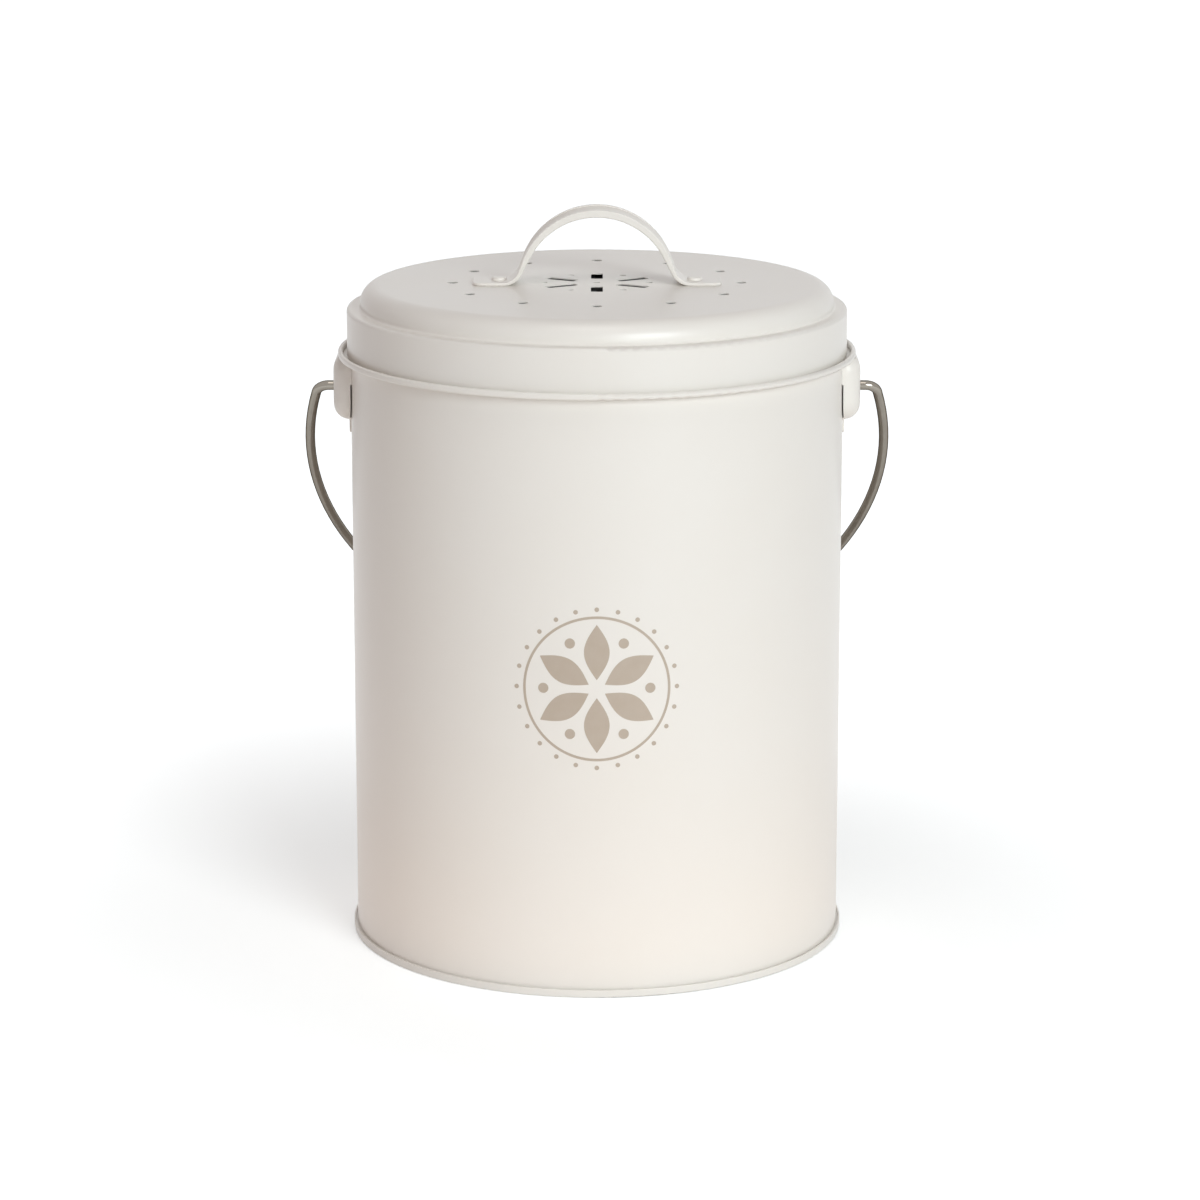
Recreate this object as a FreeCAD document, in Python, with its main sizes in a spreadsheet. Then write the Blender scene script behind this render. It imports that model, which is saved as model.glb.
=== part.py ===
"""A kitchen compost bucket of painted sheet steel, with a wire bail and a vented lid that holds a filter.

Millimetres, +Z up. The origin is the middle of the foot, the front faces -Y and the ears stand on the X axis.
"""

import FreeCAD, Part
import math
import os
from enum import IntEnum

import Sketcher

SIZES = {
    # Bucket wall and rim
    "wall_radius": 88.0,
    "wall_sheet": 0.5,
    "rim_height": 214.5,
    "rim_reach": 4.4,
    "rim_bend": 0.7,
    "curl_width": 1.8,
    "curl_height": 2.4,
    "curl_round": 0.88,
    "curl_drop": 1.6,
    "lap_width": 5.0,
    "lap_rise": 0.4,
    "lap_turn": 66.0,
    # Bucket base, folded over the wall's foot
    "base_sheet": 0.6,
    "seam_reach": 1.35,
    "seam_height": 2.9,
    "seam_round": 0.55,
    "seam_clearance": 0.05,
    "hem_height": 2.4,
    "panel_height": 2.6,
    "panel_step": 1.0,
    "panel_step_inset": 14.9,
    # Ears and the bail's pivot
    "pivot_drop": 14.0,
    "ear_width": 26.0,
    "ear_depth": 5.85,
    "ear_drop": 11.2,
    "ear_sheet": 0.8,
    "ear_round": 5.6,
    "ear_top_round": 6.2,
    "ear_bottom_round": 7.5,
    "ear_clearance": 0.1,
    "ear_slit": 0.5,
    "ear_slit_start": 1.1,
    "ear_slit_rise": 2.4,
    "tab_width": 10.0,
    "tab_length": 5.3,
    "tab_sheet": 0.5,
    "tab_round": 2.0,
    # Bail wire
    "bail_wire": 3.5,
    "bail_bow": 16.3,
    "bail_widest": 33.7,
    "bail_reach": 147.4,
    "bail_shoulder": 31.5,
    "bail_bend": 4.6,
    "bail_head": 5.2,
    "bail_head_length": 1.4,
    "bail_end_gap": 1.2,
    "bail_clearance": 0.2,
    "bail_rest_gap": 0.3,
    # Lid shell
    "lid_sheet": 0.4,
    "lid_rise": 25.0,
    "shoulder_rise": 16.9,
    "shoulder_width": 4.75,
    "shoulder_round": 1.3,
    "dome_round": 6.6,
    "dome_foot_round": 0.9,
    "skirt_clearance": 1.45,
    "skirt_round": 0.6,
    "plug_clearance": 0.6,
    "plug_depth": 8.0,
    "plug_bend": 0.3,
    # Vents in the lid
    "vent_ring_radius": 51.3,
    "vent_size": 3.8,
    "vent_count": 12,
    "star_hole_ring_radius": 18.7,
    "star_hole_size": 2.5,
    "star_slot_inner": 8.5,
    "star_slot_outer": 20.6,
    "star_slot_width": 4.2,
    "star_slot_round": 0.9,
    "star_count": 6,
    # Strap handle on the lid
    "strap_width": 16.5,
    "strap_sheet": 1.05,
    "strap_edge_round": 0.4,
    "grip_height": 24.3,
    "grip_bead": 2.7,
    "grip_bead_width": 2.6,
    "grip_bead_lean": 21.0,
    "grip_lean": 27.0,
    "grip_trough_slope": 13.0,
    "grip_trough_foot": 4.0,
    "grip_round": 26.5,
    "foot_length": 15.6,
    "foot_bend": 6.3,
    "foot_corner": 3.6,
    # Rivets through the strap's feet
    "rivet_offset": 6.2,
    "rivet_head": 5.4,
    "rivet_head_height": 1.1,
    "rivet_head_round": 0.9,
    "rivet_shank": 3.2,
    "rivet_clearance": 0.05,
    "rivet_tail": 5.0,
    "rivet_tail_height": 1.0,
    "rivet_tail_round": 0.5,
    # Filter under the lid
    "tray_inset": 25.0,
    "tray_wall": 1.0,
    "tray_floor": 1.2,
    "tray_top_gap": 0.3,
    "tray_lip": 3.0,
    "tray_lip_height": 1.0,
    "tray_round": 0.4,
    "tray_slot_inner": 14.0,
    "tray_slot_margin": 9.0,
    "tray_slot_width": 6.0,
    "tray_slot_round": 2.9,
    "tray_slot_count": 12,
    "pad_thickness": 8.0,
    "pad_gap": 0.3,
    "pad_round": 1.0,
    "clip_width": 12.0,
    "clip_sheet": 0.6,
    "clip_flange": 8.0,
    "clip_bend": 0.6,
    "clip_gap": 0.3,
    "clip_lead": 1.5,
}
CLIP_TURNS = (90.0, 210.0, 330.0)
TINY = 1e-9
NEAR = 1e-4
SKETCH_ORIGIN = (-1, 1)


class At(IntEnum):
    """Which point of a line or arc a sketch means."""

    START = 1
    END = 2
    CENTRE = 3


class Axis(IntEnum):
    """The axes of a sketch."""

    ACROSS = -1
    UP = -2


class Size:
    """A size as an expression on the sheet, with its value for the first drawing of a shape."""

    def __init__(self, text, value):
        self.text = text
        self.value = value

    def __add__(self, other):
        other = as_size(other)
        return Size(f"({self.text} + {other.text})", self.value + other.value)

    def __sub__(self, other):
        other = as_size(other)
        return Size(f"({self.text} - {other.text})", self.value - other.value)

    def __rsub__(self, other):
        return as_size(other) - self

    def __mul__(self, other):
        other = as_size(other)
        return Size(f"({self.text} * {other.text})", self.value * other.value)

    def __truediv__(self, other):
        other = as_size(other)
        return Size(f"({self.text} / {other.text})", self.value / other.value)

    def __neg__(self):
        return Size(f"(0 - {self.text})", -self.value)


def as_size(number):
    """A plain number as a Size, so that it can stand in a sum."""
    return number if isinstance(number, Size) else Size(repr(number), number)


def root(size):
    return Size(f"sqrt({size.text})", math.sqrt(size.value))


def sine(size):
    return Size(f"sin({size.text})", math.sin(math.radians(size.value)))


def cosine(size):
    return Size(f"cos({size.text})", math.cos(math.radians(size.value)))


def tangent(size):
    return sine(size) / cosine(size)


def arcsine(size):
    return Size(f"asin({size.text})", math.degrees(math.asin(size.value)))


ZERO = as_size(0)
FULL_TURN = as_size(360)


def make_sheet(doc):
    """Write the driving dimensions into a sheet and give each back as a Size."""
    sheet = doc.addObject("Spreadsheet::Sheet", "dims")
    sizes = {}
    for row, (alias, value) in enumerate(SIZES.items(), 1):
        sheet.set(f"A{row}", alias)
        sheet.set(f"B{row}", str(value))
        sheet.setAlias(f"B{row}", alias)
        sizes[alias] = Size(f"dims.{alias}", value)
    doc.recompute()
    return sizes


doc = FreeCAD.newDocument("compost_bucket")
size = make_sheet(doc)
sub_parts = []

# Levels and radii that more than one piece follows
wall_inner = size["wall_radius"] - size["wall_sheet"]
flange_bottom = size["rim_height"] - size["curl_height"]
flange_top = flange_bottom + size["wall_sheet"]
rim_fillet = size["rim_bend"] - size["wall_sheet"]
curl_outer = size["wall_radius"] + size["rim_reach"]
curl_inner = curl_outer - size["curl_width"]
pivot_height = size["rim_height"] - size["pivot_drop"]
seam_radius = size["wall_radius"] + size["seam_reach"]
lid_top = flange_top + size["lid_rise"]
lid_under = lid_top - size["lid_sheet"]
foot_top = lid_top + size["strap_sheet"]
tray_radius = size["wall_radius"] - size["tray_inset"]
pad_top = lid_under - size["rivet_tail_height"] - size["pad_gap"]
pad_bottom = pad_top - size["pad_thickness"]
tray_bottom = pad_bottom - size["tray_floor"]
tray_lip_top = tray_bottom + size["tray_lip_height"]
lean_share = sine(size["grip_lean"])
grip_bow = size["grip_round"] * (1 - lean_share) + size["grip_height"] * lean_share
grip_foot = grip_bow / cosine(size["grip_lean"])
foot_reach = grip_foot + size["foot_length"]
rivet_x = grip_foot + size["rivet_offset"]
rivet_hole = size["rivet_shank"] / 2 + size["rivet_clearance"]


def bind(thing, name, length):
    """Set a property of a document object from the sheet."""
    thing.setExpression(name, length.text)


def new_body(label):
    body = doc.addObject("PartDesign::Body", label)
    body.Label = label
    sub_parts.append(body)
    return body


def origin_feature(body, role):
    """A body's own origin plane or axis, found by its role."""
    return next(feature for feature in body.Origin.OriginFeatures if feature.Role == role)


def new_sketch(body, name, role, lift=None, turn=None):
    """A sketch on one of the body's origin planes, lifted along and turned about the plane's normal."""
    sketch = body.newObject("Sketcher::SketchObject", name)
    sketch.AttachmentSupport = [(origin_feature(body, role), "")]
    sketch.MapMode = "FlatFace"
    if lift:
        angle = turn.value if turn else 0
        sketch.AttachmentOffset = FreeCAD.Placement(
            FreeCAD.Vector(0, 0, lift.value), FreeCAD.Rotation(FreeCAD.Vector(0, 0, 1), angle)
        )
        bind(sketch, "AttachmentOffset.Base.z", lift)
    if turn:
        bind(sketch, "AttachmentOffset.Rotation.Angle", turn)
    return sketch


def limit(sketch, kind, target, length):
    """Add a dimension to a sketch and bind it to the sheet."""
    index = sketch.addConstraint(Sketcher.Constraint(kind, *target, length.value))
    bind(sketch, f"Constraints[{index}]", length)


def fix_point(sketch, geometry, position, x, y):
    """Hold a point of a sketch at the sizes x and y from the sketch's origin."""
    for kind, length, axis in (("DistanceX", x, Axis.UP), ("DistanceY", y, Axis.ACROSS)):
        if abs(length.value) < TINY:
            sketch.addConstraint(Sketcher.Constraint("PointOnObject", geometry, position, axis))
        elif length.value > 0:
            limit(sketch, kind, (*SKETCH_ORIGIN, geometry, position), length)
        else:
            limit(sketch, kind, (geometry, position, *SKETCH_ORIGIN), -length)


def corner_arc(before, corner, after, radius):
    """Where a rounded corner begins and ends, and its arc, drawn anticlockwise."""
    to_before = (before - corner).normalize()
    to_after = (after - corner).normalize()
    half = to_before.getAngle(to_after) / 2
    reach = radius / math.tan(half)
    entry = corner + to_before * reach
    leave = corner + to_after * reach
    centre = corner + (to_before + to_after).normalize() * (radius / math.sin(half))
    left_turn = to_before.cross(to_after).z < 0
    first, last = (entry, leave) if left_turn else (leave, entry)
    angles = [math.atan2(point.y - centre.y, point.x - centre.x) for point in (first, last)]
    if angles[1] < angles[0]:
        angles[1] += 2 * math.pi
    arc = Part.ArcOfCircle(Part.Circle(centre, FreeCAD.Vector(0, 0, 1), radius), *angles)
    return entry, leave, arc, left_turn


def outline(sketch, corners):
    """Draw a closed outline through corners given as (x, y), or (x, y, radius) where one is rounded."""
    points = [FreeCAD.Vector(corner[0].value, corner[1].value, 0) for corner in corners]
    count = len(points)
    entries, leaves, arcs = list(points), list(points), {}
    for i, corner in enumerate(corners):
        if len(corner) == 3:
            entries[i], leaves[i], arc, left_turn = corner_arc(
                points[i - 1], points[i], points[(i + 1) % count], corner[2].value
            )
            arcs[i] = (arc, left_turn)
    lines = [
        sketch.addGeometry(Part.LineSegment(leaves[i], entries[(i + 1) % count]), False) for i in range(count)
    ]
    for i, corner in enumerate(corners):
        before, after = lines[i - 1], lines[i]
        if i in arcs:
            arc, left_turn = arcs[i]
            arc_id = sketch.addGeometry(arc, False)
            first, last = (At.START, At.END) if left_turn else (At.END, At.START)
            sketch.addConstraint(Sketcher.Constraint("Tangent", before, At.END, arc_id, first))
            sketch.addConstraint(Sketcher.Constraint("Tangent", arc_id, last, after, At.START))
            limit(sketch, "Radius", (arc_id,), corner[2])
            point_id = sketch.addGeometry(Part.Point(points[i]), True)
            sketch.addConstraint(Sketcher.Constraint("PointOnObject", point_id, At.START, before))
            sketch.addConstraint(Sketcher.Constraint("PointOnObject", point_id, At.START, after))
            fix_point(sketch, point_id, At.START, corner[0], corner[1])
        else:
            sketch.addConstraint(Sketcher.Constraint("Coincident", before, At.END, after, At.START))
            fix_point(sketch, after, At.START, corner[0], corner[1])


def circle(sketch, x, y, radius):
    """Draw a circle at the sizes x and y."""
    shape = Part.Circle(FreeCAD.Vector(x.value, y.value, 0), FreeCAD.Vector(0, 0, 1), radius.value)
    circle_id = sketch.addGeometry(shape, False)
    fix_point(sketch, circle_id, At.CENTRE, x, y)
    limit(sketch, "Radius", (circle_id,), radius)


def mirrored_corners(half):
    """The corners of one side, and then the same corners mirrored in x on the way back."""
    return half + [(-corner[0], *corner[1:]) for corner in reversed(half)]


def revolve(body, name, corners):
    """Turn an outline in the XZ plane about the body's Z axis."""
    sketch = new_sketch(body, f"{name}_profile", "XZ_Plane")
    outline(sketch, corners)
    feature = body.newObject("PartDesign::Revolution", name)
    feature.Profile = sketch
    feature.ReferenceAxis = (sketch, ["V_Axis"])
    bind(feature, "Angle", FULL_TURN)
    doc.recompute()
    return feature


def pad(body, name, sketch, length, side="One side"):
    feature = body.newObject("PartDesign::Pad", name)
    feature.Profile = sketch
    feature.SideType = side
    bind(feature, "Length", length)
    doc.recompute()
    return feature


def cut_through(body, name, sketch):
    """Cut a sketch right through the body, both ways."""
    feature = body.newObject("PartDesign::Pocket", name)
    feature.Profile = sketch
    feature.Type = "ThroughAll"
    feature.SideType = "Symmetric"
    doc.recompute()
    return feature


def cut(body, name, sketch, length, side="One side", backwards=False):
    feature = body.newObject("PartDesign::Pocket", name)
    feature.Profile = sketch
    feature.SideType = side
    feature.Reversed = backwards
    bind(feature, "Length", length)
    doc.recompute()
    return feature


def around(body, name, feature, count):
    """Repeat a feature evenly about the body's Z axis."""
    pattern = body.newObject("PartDesign::PolarPattern", name)
    pattern.Originals = [feature]
    pattern.Axis = (origin_feature(body, "Z_Axis"), [""])
    bind(pattern, "Angle", FULL_TURN)
    bind(pattern, "Occurrences", count)
    body.Tip = pattern
    doc.recompute()


def fillet(body, name, feature, radius, wanted):
    """Round the edges of a feature that the test wanted picks out."""
    edges = [f"Edge{i}" for i, edge in enumerate(feature.Shape.Edges, 1) if wanted(edge)]
    rounded = body.newObject("PartDesign::Fillet", name)
    rounded.Base = (feature, edges)
    bind(rounded, "Radius", radius)
    doc.recompute()
    return rounded


def lies_at(piece, axis, place):
    """Whether every point of an edge or face is at the given place along X, Y or Z."""
    box = piece.BoundBox
    low, high = getattr(box, f"{axis}Min"), getattr(box, f"{axis}Max")
    return abs(low - place) < NEAR and abs(high - place) < NEAR


def place(body, x=ZERO, z=ZERO, axis=(0, 0, 1), turn=ZERO):
    """Put a body where it belongs, turned about an axis through its own origin."""
    body.Placement = FreeCAD.Placement(
        FreeCAD.Vector(x.value, 0, z.value), FreeCAD.Rotation(FreeCAD.Vector(*axis), turn.value)
    )
    bind(body, "Placement.Base.x", x)
    bind(body, "Placement.Base.z", z)
    bind(body, "Placement.Rotation.Angle", turn)


def make_bucket_wall():
    """Rolled wall with a hem at the foot, and a flange and an open curl at the rim."""
    body = new_body("bucket_wall")
    sheet = size["wall_sheet"]
    wall = size["wall_radius"]
    hem = seam_radius - size["base_sheet"] - size["seam_clearance"]
    foot = size["base_sheet"]
    curl_end = size["rim_height"] - size["curl_drop"]
    curl_inner_round = size["curl_round"] - sheet
    revolve(body, "wall", [
        (wall_inner, foot),
        (hem, foot),
        (hem, size["hem_height"]),
        (wall, size["hem_height"]),
        (wall, flange_bottom, rim_fillet),
        (curl_outer, flange_bottom, size["curl_round"]),
        (curl_outer, size["rim_height"], size["curl_round"]),
        (curl_inner, size["rim_height"], size["curl_round"]),
        (curl_inner, curl_end),
        (curl_inner + sheet, curl_end),
        (curl_inner + sheet, size["rim_height"] - sheet, curl_inner_round),
        (curl_outer - sheet, size["rim_height"] - sheet, curl_inner_round),
        (curl_outer - sheet, flange_top, curl_inner_round),
        (wall_inner, flange_top, size["rim_bend"]),
    ])
    lap = new_sketch(body, "lap_strip", "XY_Plane", lift=size["seam_height"], turn=size["lap_turn"])
    half = size["lap_width"] / 2
    outline(lap, [
        (wall - sheet / 2, -half),
        (wall + size["lap_rise"], -half),
        (wall + size["lap_rise"], half),
        (wall - sheet / 2, half),
    ])
    pad(body, "lap_seam", lap, flange_bottom - size["seam_height"])


def make_bucket_base():
    """Pressed disc with a raised middle, whose edge is folded over the wall's foot."""
    body = new_body("bucket_base")
    sheet = size["base_sheet"]
    step_inner = wall_inner - sheet - size["panel_step_inset"]
    step_outer = step_inner + size["panel_step"]
    middle = size["panel_height"] + size["panel_step"]
    revolve(body, "base", [
        (ZERO, middle),
        (step_inner, middle),
        (step_outer, size["panel_height"]),
        (wall_inner - sheet, size["panel_height"]),
        (wall_inner - sheet, ZERO, size["seam_round"]),
        (seam_radius, ZERO, size["seam_round"]),
        (seam_radius, size["seam_height"]),
        (seam_radius - sheet, size["seam_height"]),
        (seam_radius - sheet, sheet),
        (wall_inner, sheet),
        (wall_inner, size["panel_height"] + sheet),
        (step_outer, size["panel_height"] + sheet),
        (step_inner, middle + sheet),
        (ZERO, middle + sheet),
    ])


def ear_outline(sketch):
    """An ear's front outline, straight at the sides and round at the top."""
    half = size["ear_width"] / 2
    low = pivot_height - size["ear_drop"]
    outline(sketch, mirrored_corners([
        (half, low, size["ear_bottom_round"]),
        (half, pivot_height + half, size["ear_top_round"]),
    ]))


def make_ear(label, turn):
    """Hollow pressed dome with a welded tab below, turned to its side of the bucket."""
    body = new_body(label)
    wall = size["wall_radius"]
    face = wall + size["ear_depth"]
    reach = size["ear_width"] / 2 + size["ear_sheet"]
    back_x = root(wall * wall - reach * reach)

    front = new_sketch(body, "dome_outline", "YZ_Plane", lift=back_x)
    ear_outline(front)
    dome = pad(body, "dome", front, face - back_x)
    rounded = fillet(body, "dome_edge", dome, size["ear_round"], lambda edge: lies_at(edge, "X", face.value))
    back = next(i for i, side in enumerate(rounded.Shape.Faces, 1) if lies_at(side, "X", back_x.value))
    shell = body.newObject("PartDesign::Thickness", "shell")
    shell.Base = (rounded, [f"Face{back}"])
    shell.Reversed = True
    shell.Join = "Intersection"
    bind(shell, "Value", size["ear_sheet"])
    doc.recompute()

    half = size["tab_width"] / 2
    dome_foot = pivot_height - size["ear_drop"]
    tab_outline = new_sketch(body, "tab_outline", "YZ_Plane", lift=wall - size["tab_sheet"])
    outline(tab_outline, mirrored_corners([
        (half, dome_foot - size["tab_length"], size["tab_round"]),
        (half, dome_foot + size["ear_sheet"]),
    ]))
    pad(body, "tab", tab_outline, size["tab_sheet"] * 2)
    seat = body.newObject("PartDesign::SubtractiveCylinder", "wall_seat")
    bind(seat, "Radius", wall)
    bind(seat, "Height", size["rim_height"])
    slit_foot = dome_foot + size["ear_slit_start"]
    slit = body.newObject("PartDesign::SubtractiveCylinder", "edge_slit")
    bind(slit, "Radius", wall + size["ear_slit"])
    bind(slit, "Height", pivot_height + size["ear_slit_rise"] - slit_foot)
    bind(slit, "Placement.Base.z", slit_foot)
    doc.recompute()

    under_rim = flange_bottom - rim_fillet - size["ear_clearance"]
    trim = new_sketch(body, "rim_trim", "YZ_Plane")
    outline(trim, mirrored_corners([(size["ear_width"], under_rim), (size["ear_width"], size["rim_height"])]))
    cut_through(body, "trimmed_top", trim)
    hole = new_sketch(body, "pivot_outline", "YZ_Plane")
    circle(hole, ZERO, pivot_height, size["bail_wire"] / 2 + size["bail_clearance"])
    cut_through(body, "pivot_hole", hole)
    place(body, turn=as_size(turn))


def bail_path(sketch):
    """One half of the bail's middle line: out of the ear, round a bend, along the side and over the crown."""
    half_width = size["wall_radius"] + size["bail_bow"]
    reach, widest = size["bail_reach"], size["bail_widest"]
    bend = size["bail_bend"]
    s, c = sine(size["bail_shoulder"]), cosine(size["bail_shoulder"])
    rise = (1 - s) / c
    side = (reach - widest - half_width * rise) / (s - (1 - c) * rise)
    crown = (half_width - side * (1 - c)) / c
    lean = math.asin((widest.value - bend.value) / (side.value - bend.value))
    shoulder = math.radians(size["bail_shoulder"].value)
    bend_x = half_width.value - side.value * (1 - math.cos(lean)) - bend.value * math.cos(lean)
    end_x = size["wall_radius"] + size["bail_end_gap"]
    normal = FreeCAD.Vector(0, 0, 1)

    def arc(x, y, radius, first, last):
        return Part.ArcOfCircle(Part.Circle(FreeCAD.Vector(x, y, 0), normal, radius.value), first, last)

    run, turn, flank, top = sketch.addGeometry([
        Part.LineSegment(FreeCAD.Vector(end_x.value, 0, 0), FreeCAD.Vector(bend_x, 0, 0)),
        arc(bend_x, -bend.value, bend, lean, math.pi / 2),
        arc((half_width - side).value, -widest.value, side, -shoulder, lean),
        arc(0, (crown - reach).value, crown, -math.pi / 2, -shoulder),
    ], False)
    fix_point(sketch, run, At.START, end_x, ZERO)
    sketch.addConstraint(Sketcher.Constraint("Horizontal", run))
    sketch.addConstraint(Sketcher.Constraint("Tangent", run, At.END, turn, At.END))
    sketch.addConstraint(Sketcher.Constraint("Tangent", turn, At.START, flank, At.END))
    sketch.addConstraint(Sketcher.Constraint("Tangent", flank, At.START, top, At.END))
    limit(sketch, "Radius", (turn,), bend)
    limit(sketch, "Radius", (flank,), side)
    fix_point(sketch, flank, At.CENTRE, half_width - side, -widest)
    sketch.addConstraint(Sketcher.Constraint("PointOnObject", top, At.CENTRE, Axis.UP))
    fix_point(sketch, top, At.START, ZERO, -reach)


def make_bail():
    """Bent wire with upset heads inside the ears, swung back until its crown lies at the back wall."""
    body = new_body("bail_handle")
    end_x = size["wall_radius"] + size["bail_end_gap"]
    path = new_sketch(body, "bail_path", "XZ_Plane")
    bail_path(path)
    section = new_sketch(body, "wire_section", "YZ_Plane", lift=end_x)
    circle(section, ZERO, ZERO, size["bail_wire"] / 2)
    wire = body.newObject("PartDesign::AdditivePipe", "wire")
    wire.Profile = section
    wire.Spine = path
    doc.recompute()
    head_outline = new_sketch(body, "head_outline", "YZ_Plane", lift=end_x)
    circle(head_outline, ZERO, ZERO, size["bail_head"] / 2)
    head = pad(body, "head", head_outline, size["bail_head_length"])
    other_half = body.newObject("PartDesign::Mirrored", "other_half")
    other_half.Originals = [wire, head]
    other_half.MirrorPlane = (origin_feature(body, "YZ_Plane"), [""])
    body.Tip = other_half
    doc.recompute()
    at_wall = size["wall_radius"] + size["bail_rest_gap"] + size["bail_wire"] / 2
    place(body, z=pivot_height, axis=(1, 0, 0), turn=arcsine(at_wall / size["bail_reach"]))


def make_lid_shell():
    """Pressed lid: raised top, shoulder, skirt that sits on the rim, and a plug that drops into the mouth."""
    body = new_body("lid_shell")
    sheet = size["lid_sheet"]
    skirt = curl_inner - size["skirt_clearance"]
    dome = skirt - size["shoulder_width"]
    shoulder = flange_top + size["shoulder_rise"]
    plug = wall_inner - size["plug_clearance"]
    plug_end = flange_top - size["plug_depth"]
    revolve(body, "shell", [
        (ZERO, lid_under),
        (dome - sheet, lid_under, size["dome_round"] - sheet),
        (dome - sheet, shoulder - sheet, size["dome_foot_round"] + sheet),
        (skirt - sheet, shoulder - sheet, size["shoulder_round"] - sheet),
        (skirt - sheet, flange_top + sheet, size["skirt_round"] - sheet),
        (plug - sheet, flange_top + sheet, size["plug_bend"] + sheet),
        (plug - sheet, plug_end),
        (plug, plug_end),
        (plug, flange_top, size["plug_bend"]),
        (skirt, flange_top, size["skirt_round"]),
        (skirt, shoulder, size["shoulder_round"]),
        (dome, shoulder, size["dome_foot_round"]),
        (dome, lid_top, size["dome_round"]),
        (ZERO, lid_top),
    ])
    vent = new_sketch(body, "vent_outline", "XY_Plane")
    circle(vent, size["vent_ring_radius"], ZERO, size["vent_size"] / 2)
    around(body, "vent_ring", cut_through(body, "vent", vent), size["vent_count"])
    slot = new_sketch(body, "star_slot_outline", "XY_Plane")
    half = size["star_slot_width"] / 2
    outline(slot, mirrored_corners([
        (half, size["star_slot_inner"], size["star_slot_round"]),
        (half, size["star_slot_outer"], size["star_slot_round"]),
    ]))
    around(body, "star_slots", cut_through(body, "star_slot", slot), size["star_count"])
    hole = new_sketch(body, "star_hole_outline", "XY_Plane")
    circle(hole, size["star_hole_ring_radius"], ZERO, size["star_hole_size"] / 2)
    around(body, "star_holes", cut_through(body, "star_hole", hole), size["star_count"])
    middle = new_sketch(body, "middle_hole_outline", "XY_Plane")
    circle(middle, ZERO, ZERO, size["star_hole_size"] / 2)
    cut_through(body, "middle_hole", middle)
    rivets = new_sketch(body, "rivet_hole_outline", "XY_Plane")
    circle(rivets, rivet_x, ZERO, rivet_hole)
    circle(rivets, -rivet_x, ZERO, rivet_hole)
    cut_through(body, "rivet_holes", rivets)


def leg_x(height, offset):
    """How far out the strap's leg is at a height above the lid, an offset outside its inner face."""
    lean = size["grip_lean"]
    return grip_foot + offset / cosine(lean) - height * tangent(lean)


def arch(foot, lean, top):
    """The corner where two leaning legs would meet, with the round that lets the arch reach the top."""
    radius = (foot * cosine(lean) - top * sine(lean)) / (1 - sine(lean))
    return ZERO, lid_top + foot / tangent(lean), radius


def make_lid_handle():
    """Pressed strap: flat feet, leaning legs and a round arch whose long edges stand up as beads."""
    body = new_body("lid_handle")
    sheet = size["strap_sheet"]
    half_width = size["strap_width"] / 2
    grip = size["grip_height"]
    grip_top = grip + size["grip_bead"]
    foot_outer = leg_x(ZERO, sheet)
    bend_x = foot_outer - sheet * tangent(size["grip_bead_lean"])
    side = new_sketch(body, "strap_side", "XZ_Plane")
    outline(side, [
        (foot_reach, lid_top),
        (foot_reach, foot_top),
        (bend_x, foot_top, size["foot_bend"]),
        arch(foot_outer, size["grip_bead_lean"], grip_top),
        (-bend_x, foot_top, size["foot_bend"]),
        (-foot_reach, foot_top),
        (-foot_reach, lid_top),
        (-grip_foot, lid_top, size["foot_bend"] + sheet),
        arch(grip_foot, size["grip_lean"], grip),
        (grip_foot, lid_top, size["foot_bend"] + sheet),
    ])
    strap = pad(body, "strap", side, size["strap_width"], side="Symmetric")
    edge_y = half_width.value

    def upright_at_end(edge):
        at_end = lies_at(edge, "X", foot_reach.value) or lies_at(edge, "X", -foot_reach.value)
        return at_end and edge.BoundBox.YLength < NEAR

    feet = fillet(body, "foot_corners", strap, size["foot_corner"], upright_at_end)
    fillet(
        body, "strap_edges", feet, size["strap_edge_round"],
        lambda edge: lies_at(edge, "Y", edge_y) or lies_at(edge, "Y", -edge_y),
    )
    trough = new_sketch(body, "trough_side", "XZ_Plane")
    low = size["grip_trough_foot"]
    outline(trough, [
        arch(foot_outer, size["grip_lean"], grip + sheet),
        (-leg_x(low, sheet), lid_top + low),
        (-foot_reach, lid_top + low),
        (-foot_reach, lid_top + grip_top * 2),
        (foot_reach, lid_top + grip_top * 2),
        (foot_reach, lid_top + low),
        (leg_x(low, sheet), lid_top + low),
    ])
    groove = cut(body, "trough", trough, size["strap_width"] - size["grip_bead_width"] * 2, side="Symmetric")
    bind(groove, "TaperAngle", -size["grip_trough_slope"])
    seats = new_sketch(body, "rivet_seat_outline", "XY_Plane", lift=foot_top)
    seat = size["rivet_head"] / 2 + size["rivet_clearance"]
    circle(seats, rivet_x, ZERO, seat)
    circle(seats, -rivet_x, ZERO, seat)
    cut(body, "rivet_seats", seats, size["rivet_head_height"], backwards=True)
    rivets = new_sketch(body, "rivet_hole_outline", "XY_Plane")
    circle(rivets, rivet_x, ZERO, rivet_hole)
    circle(rivets, -rivet_x, ZERO, rivet_hole)
    cut_through(body, "rivet_holes", rivets)


def make_rivet(label, place_x):
    """Rivet with a low round head on the strap's foot and a flatter tail under the lid."""
    body = new_body(label)
    head, shank, tail = size["rivet_head"] / 2, size["rivet_shank"] / 2, size["rivet_tail"] / 2
    head_top = foot_top + size["rivet_head_height"]
    tail_end = lid_under - size["rivet_tail_height"]
    revolve(body, "rivet", [
        (ZERO, tail_end),
        (tail, tail_end, size["rivet_tail_round"]),
        (tail, lid_under),
        (shank, lid_under),
        (shank, foot_top),
        (head, foot_top),
        (head, head_top, size["rivet_head_round"]),
        (ZERO, head_top),
    ])
    place(body, x=place_x)


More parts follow.
